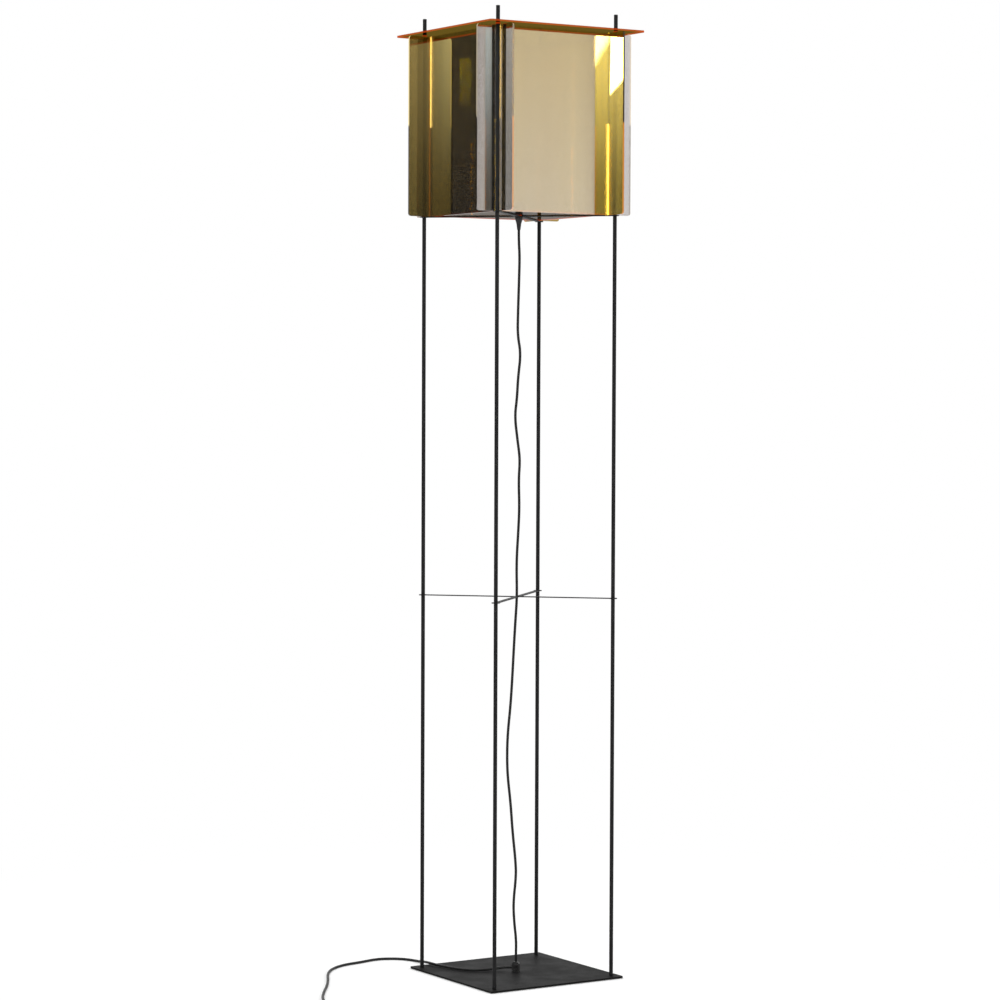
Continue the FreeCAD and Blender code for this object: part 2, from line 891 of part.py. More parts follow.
def coilPoint(turns):
    """Where the coil's centre line is after some turns: in to the middle, up a layer and out."""
    climbStart = (coilTurns - climbTurns) / 2
    inner = size("coilInnerRadius").value
    pitch = size("coilPitch").value
    rise = size("coilLayerRise").value
    low = size("tieThickness").value + size("tieClearance").value + cordRadius
    if turns <= climbStart:
        radius, height = inner + pitch * (climbStart - turns), low
    elif turns >= climbStart + climbTurns:
        radius, height = inner + pitch * (turns - climbStart - climbTurns), low + rise
    else:
        share = (turns - climbStart) / climbTurns
        radius, height = inner, low + rise * (3 - 2 * share) * share ** 2
    angle = 2 * math.pi * turns - math.pi / 2
    return V(coilX + radius * math.cos(angle), coilY + radius * math.sin(angle), height)


def biarc(start, startHeading, end, endHeading):
    """Two tangent arcs between two points, each point with its heading."""
    gap = end - start
    both = startHeading + endHeading
    bend = 2 * (1 - startHeading.dot(endHeading))
    along = 2 * gap.dot(both)
    reach = (math.sqrt(along ** 2 + 4 * bend * gap.dot(gap)) - along) / (2 * bend)
    firstCorner = start + startHeading * reach
    lastCorner = end - endHeading * reach
    join = (firstCorner + lastCorner) / 2
    arcs = []
    for near, corner, far in ((start, firstCorner, join), (join, lastCorner, end)):
        halfTurn = (corner - near).getAngle(far - corner) / 2
        share = math.cos(halfTurn) / (1 + math.cos(halfTurn))
        middle = (near + far) / 2
        arcs.append(Part.Arc(near, middle + (corner - middle) * share, far).toShape())
    return arcs


def coilHeading(turns):
    step = 0.001
    return (coilPoint(turns + step) - coilPoint(turns - step)).normalize()


def makeCoil():
    """The spare length: one unbroken cord wound in two layers, by biarcs of a quarter turn."""
    knots = [quarter / 4 for quarter in range(round(coilTurns * 4) + 1)]
    headings = [coilHeading(knot) for knot in knots]
    headings[0] = V(1, 0, 0)
    headings[-1] = V(1, 0, 0)
    stub = V(size("cordDiameter").value, 0, 0)
    first = coilPoint(0)
    last = coilPoint(coilTurns)
    edges = [Part.LineSegment(first - stub, first).toShape()]
    for number in range(len(knots) - 1):
        near = coilPoint(knots[number])
        far = coilPoint(knots[number + 1])
        edges += biarc(near, headings[number], far, headings[number + 1])
    edges.append(Part.LineSegment(last, last + stub).toShape())
    path = Part.Wire(edges)
    spacing = 2.0
    points = path.discretize(Distance=spacing)
    skip = round(4 * size("cordDiameter").value / spacing)
    least = math.inf
    for number, point in enumerate(points):
        for other in points[number + skip:]:
            least = min(least, point.distanceToPoint(other))
    print(f"cord_coil: least gap to itself {least - 2 * cordRadius:.2f}")
    addTube("cord_coil", path)


def makeCords():
    exitHeading = V(-math.sqrt(0.5), math.sqrt(0.5), 0)
    gripEnd = V(0, 0, gripBottom.value)
    anchorUp = V(0, 0, anchorTop.value)
    anchorSide = exitHeading * size("anchorFlat").value + V(0, 0, anchorExit.value)
    addTube("cord_drop", bentPath("cord_drop", [gripEnd] + dropPoints + [anchorUp]))
    switchIn, inward = switchEnd(-1)
    floorEnd = [switchIn + inward * switchInRun, switchIn]
    addTube("cord_floor", bentPath("cord_floor", [anchorSide] + floorPoints + floorEnd))
    switchOut, outward = switchEnd(1)
    stub = V(size("cordDiameter").value, 0, 0)
    coilIn = coilPoint(0) - stub
    leadStart = [switchOut, switchOut + outward * switchOutRun]
    leadEnd = [coilIn - V(coilInRun, 0, 0), coilIn]
    addTube("cord_lead", bentPath("cord_lead", leadStart + leadPoints + leadEnd))
    makeCoil()
    coilOut = coilPoint(coilTurns) + stub
    plugIn = V(plugX.value - size("plugReliefLength").value, coilOut.y, size("plugHeight").value / 2)
    tailStart = [coilOut, coilOut + V(coilOutRun, 0, 0)]
    tailEnd = [plugIn - V(plugRun, 0, 0), plugIn]
    addTube("cord_tail", bentPath("cord_tail", tailStart + tailPoints + tailEnd))


def makeTie():
    """Flat strap round the coil's turns, on the side away from its two ends."""
    body = newBody("coil_tie")
    layerTurns = (coilTurns - climbTurns) / 2
    clearance = size("tieClearance") + size("cordDiameter") / 2
    near = size("coilInnerRadius") - clearance
    far = size("coilInnerRadius") + size("coilPitch") * layerTurns + clearance
    low = size("tieThickness")
    high = low + clearance * 2 + size("coilLayerRise")
    thickness = size("tieThickness")
    band = newSketch(body, "band", "XZ_Plane", offset=-size("tieWidth") / 2)
    rectangle(band, near - thickness, low - thickness, far + thickness, high + thickness)
    rectangle(band, near, low, far, high)
    pad(band, size("tieWidth"))
    place(body, asSize(coilX), asSize(coilY), turn=90)
    parts.append(body)


# ---------------------------------------------------------------- foot switch

switchHeight = size("switchBaseHeight") + size("switchCoverHeight")
bossPlaces = (-1, 1)


def roundedBox(body, length, width, height):
    outline = newSketch(body, "outline")
    rectangle(outline, -length / 2, -width / 2, length / 2, width / 2)
    block = pad(outline, height)
    doc.recompute()
    return fillet(block, edgesAlong(block, V(0, 0, 1)), size("switchCornerRadius"))


def innerBox(sketch):
    halfLength = size("switchLength") / 2 - size("switchWall")
    halfWidth = size("switchWidth") / 2 - size("switchWall")
    rectangle(sketch, -halfLength, -halfWidth, halfLength, halfWidth)


def roundInside(feature):
    """Round the hollow's corners, so that the wall keeps its thickness round the bends."""
    corners = []
    for number, edge in enumerate(feature.Shape.Edges, start=1):
        if not isinstance(edge.Curve, Part.Line):
            continue
        middle = edge.valueAt((edge.FirstParameter + edge.LastParameter) / 2)
        atX = abs(abs(middle.x) - (size("switchLength") / 2 - size("switchWall")).value) < 1e-4
        atY = abs(abs(middle.y) - (size("switchWidth") / 2 - size("switchWall")).value) < 1e-4
        if atX and atY:
            corners.append(f"Edge{number}")
    return fillet(feature, corners, size("switchCornerRadius") - size("switchWall"))


def makeSwitchBase():
    """Lower half of the housing, with a tapered cord sleeve at each end."""
    body = newBody("foot_switch_base")
    height = size("switchBaseHeight")
    roundedBox(body, size("switchLength"), size("switchWidth"), height)
    hollow = newSketch(body, "hollow", offset=height)
    innerBox(hollow)
    hollowed = pocket(hollow, height - size("switchWall"))
    doc.recompute()
    roundInside(hollowed)
    bosses = newSketch(body, "bosses")
    for side in bossPlaces:
        circle(bosses, size("bossDiameter"), size("bossReach") * side)
    pad(bosses, height)
    root = size("switchLength") / 2 - size("switchWall") / 2
    face = size("switchLength") / 2
    tip = face + size("noseLength")
    for side in bossPlaces:
        nose = newSketch(body, "left_nose" if side < 0 else "right_nose", "XZ_Plane",
                         rise=size("switchCordHeight"))
        polygon(nose, [
            (root * side, zero),
            (tip * side, zero),
            (tip * side, size("noseTipDiameter") / 2),
            (face * side, size("noseDiameter") / 2),
            (root * side, size("noseDiameter") / 2),
        ])
        revolve(nose, "H_Axis")
    screwHoles = newSketch(body, "screw_holes")
    sinks = newSketch(body, "screw_sinks")
    for side in bossPlaces:
        circle(screwHoles, size("switchScrewDiameter") + size("holeClearance"), size("bossReach") * side)
        circle(sinks, size("switchScrewHead") + size("holeClearance"), size("bossReach") * side)
    pocket(screwHoles, height, reverse=True)
    pocket(sinks, size("switchScrewSink"), reverse=True)
    place(body, switchX, switchY, turn=switchTurn)
    parts.append(body)


def makeSwitchCover():
    """Upper half of the housing, with a round opening for the button."""
    body = newBody("foot_switch_cover")
    height = size("switchCoverHeight")
    block = roundedBox(body, size("switchLength"), size("switchWidth"), height)
    fillet(block, edgesAtLevel(block, height), size("switchEdgeRadius"))
    hollow = newSketch(body, "hollow")
    innerBox(hollow)
    hollowed = pocket(hollow, height - size("switchWall"), reverse=True)
    doc.recompute()
    roundInside(hollowed)
    bosses = newSketch(body, "bosses")
    for side in bossPlaces:
        circle(bosses, size("bossDiameter"), size("bossReach") * side)
    pad(bosses, height - size("switchWall") / 2)
    pilots = newSketch(body, "pilots")
    for side in bossPlaces:
        circle(pilots, size("switchScrewDiameter") + size("threadClearance"), size("bossReach") * side)
    above = size("switchScrewSink") + size("switchScrewLength") - size("switchBaseHeight")
    pocket(pilots, above + size("holeClearance"), reverse=True)
    opening = newSketch(body, "opening", offset=height)
    circle(opening, size("buttonDiameter") + size("buttonGap") * 2)
    pocket(opening, size("switchWall"))
    place(body, switchX, switchY, size("switchBaseHeight"), turn=switchTurn)
    parts.append(body)


def makeSwitchScrews():
    screws = []
    for number, side in enumerate(bossPlaces, start=1):
        body = newBody(f"switch_screw_{number}")
        headRadius = size("switchScrewHead") / 2
        shankRadius = size("switchScrewDiameter") / 2
        half = newSketch(body, "half", "XZ_Plane")
        polygon(half, [
            (zero, size("holeClearance")),
            (headRadius, size("holeClearance")),
            (headRadius, size("switchScrewSink")),
            (shankRadius, size("switchScrewSink")),
            (shankRadius, size("switchScrewSink") + size("switchScrewLength")),
            (zero, size("switchScrewSink") + size("switchScrewLength")),
        ])
        revolve(half)
        reach = size("bossReach") * side
        turn = math.radians(switchTurn)
        place(body, switchX + reach * math.cos(turn), switchY + reach * math.sin(turn))
        screws.append(body)
    group("switch_screws", screws)


buttonBottom = (
    switchHeight - size("switchWall") - size("runningClearance") - size("buttonFlange")
)


def makeSwitchButton():
    """Round foot button, kept in by a flange under the cover."""
    body = newBody("foot_switch_button")
    radius = size("buttonDiameter") / 2
    top = switchHeight + size("buttonProud") - buttonBottom
    edge = size("switchEdgeRadius") / 2
    half = newSketch(body, "half", "XZ_Plane")
    polygon(half, [
        (zero, zero),
        (radius + size("buttonFlangeReach"), zero),
        (radius + size("buttonFlangeReach"), size("buttonFlange")),
        (radius, size("buttonFlange")),
        (radius, top - edge),
        (radius - edge, top),
        (zero, top),
    ])
    revolve(half)
    place(body, switchX, switchY, buttonBottom, turn=switchTurn)
    parts.append(body)


def makeSwitchContact():
    """Switch block under the button, which the button meets at the end of its travel."""
    body = newBody("foot_switch_contact")
    halfLength = size("contactLength") / 2
    halfWidth = size("contactWidth") / 2
    outline = newSketch(body, "outline")
    rectangle(outline, -halfLength, -halfWidth, halfLength, halfWidth)
    top = buttonBottom - size("buttonTravel") - size("runningClearance")
    pad(outline, top - size("switchWall"))
    place(body, switchX, switchY, size("switchWall"), turn=switchTurn)
    parts.append(body)


# ---------------------------------------------------------------- plug

def makePlug():
    """Flat two-pin plug, narrower towards its cord, with a tapered sleeve on the cord."""
    body = newBody("plug_body")
    half = size("plugWidth") / 2
    back = size("plugBackWidth") / 2
    outline = newSketch(body, "outline")
    polygon(outline, [
        (zero, -back),
        (size("plugShoulder"), -half),
        (size("plugLength"), -half),
        (size("plugLength"), half),
        (size("plugShoulder"), half),
        (zero, back),
    ])
    block = pad(outline, size("plugHeight"))
    doc.recompute()
    block = fillet(block, edgesAlong(block, V(0, 0, 1)), size("plugEdgeRadius"))
    rims = edgesAtLevel(block, zero) + edgesAtLevel(block, size("plugHeight"))
    fillet(block, rims, size("plugRimRadius"))
    sleeve = newSketch(body, "sleeve", "XZ_Plane", rise=size("plugHeight") / 2)
    polygon(sleeve, [
        (-size("plugReliefLength"), zero),
        (size("plugShoulder"), zero),
        (size("plugShoulder"), size("plugReliefDiameter") / 2),
        (zero, size("plugReliefDiameter") / 2),
        (-size("plugReliefLength"), size("plugReliefTipDiameter") / 2),
    ])
    revolve(sleeve, "H_Axis")
    sockets = newSketch(body, "sockets", "YZ_Plane", offset=size("plugLength"),
                        rise=size("plugHeight") / 2)
    for side in (-1, 1):
        circle(sockets, size("pinDiameter") + size("threadClearance"), size("pinSpacing") / 2 * side)
    pocket(sockets, size("pinEmbed"))
    place(body, plugX, asSize(coilPoint(coilTurns).y))
    parts.append(body)


def makePins():
    pins = []
    for number, side in enumerate((-1, 1), start=1):
        pin = doc.addObject("Part::Cylinder", f"plug_pin_{number}")
        bind(pin, "Radius", size("pinDiameter") / 2)
        bind(pin, "Height", size("pinLength") + size("pinEmbed"))
        y = asSize(coilPoint(coilTurns).y) + size("pinSpacing") / 2 * side
        place(pin, plugX + size("plugLength") - size("pinEmbed"), y, size("plugHeight") / 2, turn=90, tilt=90)
        pins.append(pin)
    group("plug_pins", pins)


# ---------------------------------------------------------------- the whole lamp

makeBaseMat()
makeBasePlate()
makeBaseScrews()
makeRods()
makeStuds("middle_studs", middleBraceBottom + size("braceThickness") / 2)
makeStuds("upper_studs", lanternBraceBottom + size("braceThickness") / 2)
makeBrace("middle_brace", middleBraceBottom, None, size("cordHoleDiameter"))
stemHole = size("stemDiameter") + size("stemClearance") * 2
makeBrace("lantern_brace", lanternBraceBottom, size("hubDiameter"), stemHole)
makeFloorPlate()
makePanels()
makeTopPlate()
makeHeadBase()
makeBoard()
makeDome()
makeCordGrip()
makeGripNut()
makeAnchor()
makeClampScrew()
makeCords()
makeTie()
makeSwitchBase()
makeSwitchCover()
makeSwitchScrews()
makeSwitchButton()
makeSwitchContact()
makePlug()
makePins()
doc.recompute()

for thing in doc.Objects:
    if "Invalid" in thing.State or "Error" in thing.State:
        raise RuntimeError(f"{thing.Label} did not compute: {thing.State}")
for part in parts:
    if part.Shape.isNull() or not part.Shape.isValid() or not part.Shape.Solids:
        raise RuntimeError(f"{part.Label} has no valid solid")

os.makedirs("parts", exist_ok=True)
for part in parts:
    part.Shape.exportStep(os.path.join("parts", f"{part.Label}.step"))
    box = part.Shape.BoundBox
    print(f"{part.Label}: {len(part.Shape.Solids)} solids, volume {part.Shape.Volume:.0f}, "
          f"z {box.ZMin:.1f} to {box.ZMax:.1f}")
print(f"{len(parts)} sub-parts")
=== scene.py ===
import math

import bmesh
import bpy
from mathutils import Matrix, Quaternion, Vector


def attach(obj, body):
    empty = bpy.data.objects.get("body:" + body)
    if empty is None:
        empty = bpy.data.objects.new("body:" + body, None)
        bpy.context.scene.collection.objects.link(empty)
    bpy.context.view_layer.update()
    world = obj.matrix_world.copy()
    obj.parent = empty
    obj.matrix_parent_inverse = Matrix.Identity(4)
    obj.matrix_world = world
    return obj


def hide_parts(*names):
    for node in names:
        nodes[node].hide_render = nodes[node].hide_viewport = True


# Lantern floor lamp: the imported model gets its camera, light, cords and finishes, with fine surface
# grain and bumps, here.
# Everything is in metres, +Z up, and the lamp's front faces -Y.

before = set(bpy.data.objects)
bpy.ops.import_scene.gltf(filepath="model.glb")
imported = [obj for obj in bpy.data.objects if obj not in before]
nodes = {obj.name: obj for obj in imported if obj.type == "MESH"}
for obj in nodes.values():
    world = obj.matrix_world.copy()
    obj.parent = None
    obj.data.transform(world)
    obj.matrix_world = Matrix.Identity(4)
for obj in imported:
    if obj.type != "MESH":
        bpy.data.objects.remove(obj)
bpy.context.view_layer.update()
scene = bpy.context.scene
print("frame loaded:", len(nodes), "nodes")


# camera

cameraSettings = {
    "location": (-2.80183, -4.38330, 0.98136),
    "heading": (0.53343, 0.84510, -0.03554),
    "rollDegrees": 0.2197,
    "lens": 112.103,
    "sensorWidth": 36.0,
    "clipEnd": 60.0,
}


def makeCamera(settings):
    data = bpy.data.cameras.new("camera")
    data.lens = settings["lens"]
    data.sensor_width = settings["sensorWidth"]
    data.clip_end = settings["clipEnd"]
    camera = bpy.data.objects.new("camera", data)
    scene.collection.objects.link(camera)
    aim = Vector(settings["heading"]).to_track_quat("-Z", "Y")
    roll = Quaternion((0, 0, 1), math.radians(settings["rollDegrees"]))
    camera.rotation_mode = "QUATERNION"
    camera.rotation_quaternion = aim @ roll
    camera.location = settings["location"]
    scene.camera = camera


makeCamera(cameraSettings)
print("camera placed")


# node trees

def fillInputs(tree, made, values):
    for name, value in values.items():
        if isinstance(value, bpy.types.NodeSocket):
            tree.links.new(value, made.inputs[name])
        else:
            made.inputs[name].default_value = value


def addNode(tree, kind, inputs=None, **traits):
    made = tree.nodes.new(kind)
    for name, value in traits.items():
        setattr(made, name, value)
    fillInputs(tree, made, inputs or {})
    return made


def addMath(tree, operation, first, second=0.0, third=0.0, clamp=False):
    made = addNode(tree, "ShaderNodeMath", {0: first, 1: second, 2: third}, operation=operation)
    made.use_clamp = clamp
    return made.outputs[0]


def addRange(tree, value, low, high, least=0.0, most=1.0):
    inputs = {"Value": value, "From Min": low, "From Max": high, "To Min": least, "To Max": most}
    return addNode(tree, "ShaderNodeMapRange", inputs, interpolation_type="SMOOTHSTEP").outputs[0]


def addMix(tree, share, first, second):
    made = addNode(tree, "ShaderNodeMix", data_type="RGBA")
    for number, value in ((0, share), (6, first), (7, second)):
        if isinstance(value, bpy.types.NodeSocket):
            tree.links.new(value, made.inputs[number])
        elif number:
            made.inputs[number].default_value = (*value, 1)
        else:
            made.inputs[number].default_value = value
    return made.outputs[2]


def newMaterial(name):
    material = bpy.data.materials.new(name)
    material.use_nodes = True
    tree = material.node_tree
    shader = tree.nodes["Principled BSDF"]
    return material, tree, shader


def newGroup(name, inputs, outputs):
    tree = bpy.data.node_groups.new(name, "ShaderNodeTree")
    for label, kind, value in inputs:
        socket = tree.interface.new_socket(label, in_out="INPUT", socket_type=kind)
        socket.default_value = value
    for label, kind in outputs:
        tree.interface.new_socket(label, in_out="OUTPUT", socket_type=kind)
    return tree, addNode(tree, "NodeGroupInput").outputs, addNode(tree, "NodeGroupOutput")


def useGroup(tree, group, inputs):
    made = addNode(tree, "ShaderNodeGroup")
    made.node_tree = group
    fillInputs(tree, made, inputs)
    return made.outputs


floatKind, vectorKind, colorKind = "NodeSocketFloat", "NodeSocketVector", "NodeSocketColor"


def finishNodes(material, names):
    for name in names:
        for slot in nodes[name].material_slots:
            slot.material = material


# cords: the same route points as the solids', in metres

cordSettings = {
    "diameter": 0.0044,
    "ringSteps": 5,
    "runSteps": 10,
    "dropLength": 1.2296,
    "floorLength": 0.811,
    "leadLength": 1.1266,
    "coilCentre": (-0.300, -0.283),
    "coilTurns": 6.0,
    "climbTurns": 0.5,
    "innerRadius": 0.018,
    "pitch": 0.0058,
    "lowLevel": 0.0033,
    "layerRise": 0.0054,
    "pointsPerTurn": 24,
}

dropPoints = [
    (0, 0, 1.247), (0, 0, 1.229), (0.0017, -0.0004, 1.203), (0.0001, -0.0010, 1.160),
    (-0.0004, 0.0009, 1.108), (-0.0005, 0.0018, 1.072), (0.0038, -0.0019, 1.041),
    (-0.0008, -0.0005, 1.000), (-0.0022, 0, 0.967), (-0.0046, 0.0032, 0.936),
    (0.0002, 0.0014, 0.895), (0.0032, -0.0017, 0.864), (0.0006, -0.0015, 0.830),
    (0.0022, -0.0019, 0.785), (0.0015, 0.0002, 0.744), (-0.0012, 0.0015, 0.692),
    (-0.0007, -0.0001, 0.635), (-0.0030, 0.0006, 0.598), (-0.0044, 0.0024, 0.560),
    (-0.0058, 0.0050, 0.505), (-0.0082, 0.0069, 0.452), (-0.0131, 0.0081, 0.404),
    (-0.0144, 0.0076, 0.362), (-0.0128, 0.0075, 0.330), (-0.0079, 0.0061, 0.288),
    (-0.0047, 0.0049, 0.240), (-0.0010, 0.0011, 0.192), (-0.0006, -0.0006, 0.165),
    (-0.0043, 0.0022, 0.120), (-0.0023, 0.0024, 0.088), (0.0005, 0, 0.056), (0, 0, 0.033),
    (0, 0, 0.0205),
]

floorPoints = [
    (-0.00424, 0.00424, 0.0105), (-0.0145, 0.0145, 0.0105), (-0.032, 0.022, 0.0072),
    (-0.060, 0.030, 0.0065), (-0.080, 0.054, 0.0066), (-0.092, 0.104, 0.0068),
    (-0.096, 0.134, 0.0078), (-0.088, 0.164, 0.0026), (-0.096, 0.197, 0.0024),
    (-0.116, 0.217, 0.0023), (-0.142, 0.225, 0.0024), (-0.178, 0.214, 0.0023),
    (-0.214, 0.208, 0.0024), (-0.249, 0.187, 0.0023), (-0.277, 0.152, 0.0024),
    (-0.301, 0.107, 0.0023), (-0.329, 0.060, 0.0024), (-0.361, 0.014, 0.0023),
    (-0.391, -0.035, 0.0024), (-0.409, -0.090, 0.0025), (-0.410, -0.130, 0.0036),
    (-0.4084, -0.1492, 0.0052), (-0.4042, -0.1728, 0.0052),
]

leadPoints = [
    (-0.3858, -0.2772, 0.0052), (-0.3830, -0.2930, 0.0052), (-0.3728, -0.3066, 0.0044),
    (-0.3577, -0.3146, 0.0036), (-0.3400, -0.3172, 0.0033), (-0.3184, -0.31695, 0.0033),
    (-0.3044, -0.31695, 0.0033),
]

tailPoints = [
    (-0.2956, -0.31695, 0.0087), (-0.2836, -0.31695, 0.0087), (-0.2680, -0.3175, 0.0079),
    (-0.2540, -0.3169, 0.0071), (-0.2460, -0.31695, 0.0068), (-0.2360, -0.31695, 0.0068),
]


def coilPoints(settings):
    centreX, centreY = settings["coilCentre"]
    climbStart = (settings["coilTurns"] - settings["climbTurns"]) / 2
    climbEnd = climbStart + settings["climbTurns"]
    steps = round(settings["coilTurns"] * settings["pointsPerTurn"])
    points = []
    for step in range(steps + 1):
        turns = settings["coilTurns"] * step / steps
        share = min(max((turns - climbStart) / settings["climbTurns"], 0), 1)
        away = max(climbStart - turns, turns - climbEnd, 0)
        radius = settings["innerRadius"] + settings["pitch"] * away
        height = settings["lowLevel"] + settings["layerRise"] * (3 - 2 * share) * share ** 2
        angle = 2 * math.pi * turns - math.pi / 2
        across, along = radius * math.cos(angle), radius * math.sin(angle)
        points.append((centreX + across, centreY + along, height))
    return points


def makeCord(name, points, settings):
    curve = bpy.data.curves.new(name, "CURVE")
    curve.dimensions = "3D"
    spline = curve.splines.new("NURBS")
    spline.points.add(len(points) - 1)
    for point, place in zip(spline.points, points):
        point.co = (*place, 1)
        point.radius = settings["diameter"] / 2
    spline.order_u = 3
    spline.use_endpoint_u = True
    spline.resolution_u = settings["runSteps"]
    curve.bevel_depth = 1  # times each point's radius
    curve.bevel_resolution = settings["ringSteps"]
    curve.use_fill_caps = True
    cord = bpy.data.objects.new(name, curve)
    scene.collection.objects.link(cord)
    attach(cord, "stand")
    return cord


def makeCords(settings):
    drop = makeCord("hanging_cord", dropPoints, settings)
    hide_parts("cord_drop")
    toSwitch = makeCord("floor_cord", floorPoints, settings)
    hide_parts("cord_floor")
    allPoints = leadPoints + coilPoints(settings) + tailPoints
    toPlug = makeCord("plug_cord", allPoints, settings)
    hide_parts("cord_lead", "cord_coil", "cord_tail")
    return [drop, toSwitch, toPlug]


cords = makeCords(cordSettings)
print("cords laid")


# floor, backdrop and lamps

studioSettings = {
    "floorSide": 24.0,
    "floorColor": (0.80, 0.80, 0.80),
    "floorDark": (0.79, 0.79, 0.79),
    "floorLift": 0.22,
    "clearFrom": 0.45,
    "clearAt": 1.5,
    "surround": (0.72, 0.72, 0.72),
    "grainScale": 40.0,
    # Patches of light or shade that only reflections see, each laid over the ones before it. Turn and
    # rise are degrees round and up, from and to, with a soft edge; lean tilts the patch's lower edge.
    "cards": [
        {"turn": (275, 325, 3), "rise": (-30, 40, 6), "color": (0.42, 0.375, 0.335)},
        {"turn": (302.1, 304.0, 0.4), "rise": (-30, 40, 6), "color": (0.84, 0.74, 0.56)},
        {"turn": (121.0, 150, 0.3), "rise": (-30, 40, 6), "color": (0.02, 0.017, 0.014)},
        {"turn": (233, 243, 1), "rise": (-30, 6, 2), "color": (0.16, 0.16, 0.15)},
        {"turn": (238.9, 242, 0.3), "rise": (5.0, 30, 2.0), "color": (0.60, 0.60, 0.56)},
        {"turn": (237.9, 238.9, 0.3), "rise": (5.4, 30, 2.2), "color": (1.5, 1.75, 1.85)},
        {"turn": (231, 237.0, 0.3), "rise": (5.8, 30, 2.6), "color": (3.4, 3.3, 2.8)},
        {"turn": (232, 235.75, 0.01), "rise": (5.40, 9.0, 0.06), "lean": 1.1,
         "color": (26, 26, 26)},
        {"turn": (235.75, 236.6, 0.01), "rise": (5.01, 9.0, 0.15), "lean": 1.65,
         "color": (12, 12, 12)},
        {"turn": (238.14, 238.52, 0.02), "rise": (5.2, 6.06, 0.04), "color": (40, 60, 6)},
    ],
    "backdropColor": (1.0, 1.0, 1.0),
}

lampSettings = {
    "keyLamp": {"place": (-2.6, -2.4, 3.4), "aim": (0, 0, 0.9), "size": 1.8, "power": 62},
    "fillLamp": {"place": (3.2, -2.2, 2.4), "aim": (0, 0, 1.0), "size": 2.2, "power": 40},
    "backLamp": {"place": (0.6, 3.6, 3.2), "aim": (0, 0, 1.0), "size": 2.2, "power": 40},
}


def makeFloor(settings):
    shape = bmesh.new()
    bmesh.ops.create_grid(shape, x_segments=8, y_segments=8, size=settings["floorSide"] / 2)
    mesh = bpy.data.meshes.new("studio_floor")
    shape.to_mesh(mesh)
    shape.free()
    floor = bpy.data.objects.new("studio_floor", mesh)
    scene.collection.objects.link(floor)
    material, tree, shader = newMaterial("studio_floor")
    light = addNode(tree, "ShaderNodeLightPath").outputs
    seen = addMath(tree, "MAXIMUM", light["Is Camera Ray"], light["Is Transmission Ray"])
    place = addNode(tree, "ShaderNodeTexCoord").outputs["Object"]
    away = addNode(tree, "ShaderNodeVectorMath", {0: place}, operation="LENGTH").outputs["Value"]
    clear = addRange(tree, away, settings["clearFrom"], settings["clearAt"])
    grain = addNode(tree, "ShaderNodeTexNoise", {
        "Vector": place, "Scale": settings["grainScale"], "Detail": 3.0}).outputs[0]
    share = addRange(tree, grain, 0.4, 0.6)
    tint = addMix(tree, share, settings["floorDark"], settings["floorColor"])
    lift = addMath(tree, "MULTIPLY_ADD", clear, 1.0 - settings["floorLift"], settings["floorLift"])
    fillInputs(tree, shader, {
        "Base Color": addMix(tree, addMath(tree, "MULTIPLY", seen, clear), tint, (0, 0, 0)),
        "Roughness": 0.9,
        "Specular IOR Level": 0.0,
        "Emission Color": (1, 1, 1, 1),
        "Emission Strength": addMath(tree, "MULTIPLY", seen, lift),
    })
    mesh.materials.append(material)


def makeSurround(settings):
    world = bpy.data.worlds.new("studio")
    scene.world = world
    world.use_nodes = True
    tree = world.node_tree
    tree.nodes.clear()
    light = addNode(tree, "ShaderNodeLightPath").outputs
    seen = addMath(tree, "MAXIMUM", light["Is Camera Ray"], light["Is Transmission Ray"])
    heading = addNode(tree, "ShaderNodeSeparateXYZ", {
        0: addNode(tree, "ShaderNodeTexCoord").outputs["Generated"]}).outputs
    degrees = 180 / math.pi
    turn = addMath(tree, "MULTIPLY", addMath(tree, "ARCTAN2", heading[1], heading[0]), degrees)
    turn = addMath(tree, "MODULO", addMath(tree, "ADD", turn, 360.0), 360.0)
    rise = addMath(tree, "MULTIPLY", addMath(tree, "ARCSINE", heading[2]), degrees)
    shade = addNode(tree, "ShaderNodeRGB")
    shade.outputs[0].default_value = (*settings["surround"], 1)
    shade = shade.outputs[0]
    for card in settings["cards"]:
        low, high, soft = card["turn"]
        share = addMath(tree, "MULTIPLY", addRange(tree, turn, low - soft, low + soft),
                        addRange(tree, turn, high - soft, high + soft, 1.0, 0.0))
        low, high, soft = card["rise"]
        lean = addMath(tree, "MULTIPLY_ADD", addMath(tree, "SUBTRACT", turn, card["turn"][1]),
                       card.get("lean", 0.0), rise)
        share = addMath(tree, "MULTIPLY", share, addMath(
            tree, "MULTIPLY", addRange(tree, lean, low - soft, low + soft),
            addRange(tree, lean, high - soft, high + soft, 1.0, 0.0)))
        shade = addMix(tree, share, shade, card["color"])
    shared, cards, white = [
        addNode(tree, "ShaderNodeBackground", {"Color": color, "Strength": 1.0}).outputs[0]
        for color in ((*settings["surround"], 1), shade, (*settings["backdropColor"], 1))]
    mixed = addNode(tree, "ShaderNodeMixShader", {0: light["Is Glossy Ray"], 1: shared, 2: cards})
    mixed = addNode(tree, "ShaderNodeMixShader", {0: seen, 1: mixed.outputs[0], 2: white})
    addNode(tree, "ShaderNodeOutputWorld", {"Surface": mixed.outputs[0]})


def makeLamp(name, settings):
    data = bpy.data.lights.new(name, "AREA")
    data.shape = "DISK"
    data.size = settings["size"]
    data.energy = settings["power"]
    lamp = bpy.data.objects.new(name, data)
    scene.collection.objects.link(lamp)
    lamp.location = settings["place"]
    aim = Vector(settings["aim"]) - Vector(settings["place"])
    lamp.rotation_euler = aim.to_track_quat("-Z", "Y").to_euler()


makeFloor(studioSettings)
makeSurround(studioSettings)
for lampName, lampValues in lampSettings.items():
    makeLamp(lampName, lampValues)
scene.view_settings.view_transform = "Standard"
print("studio built")


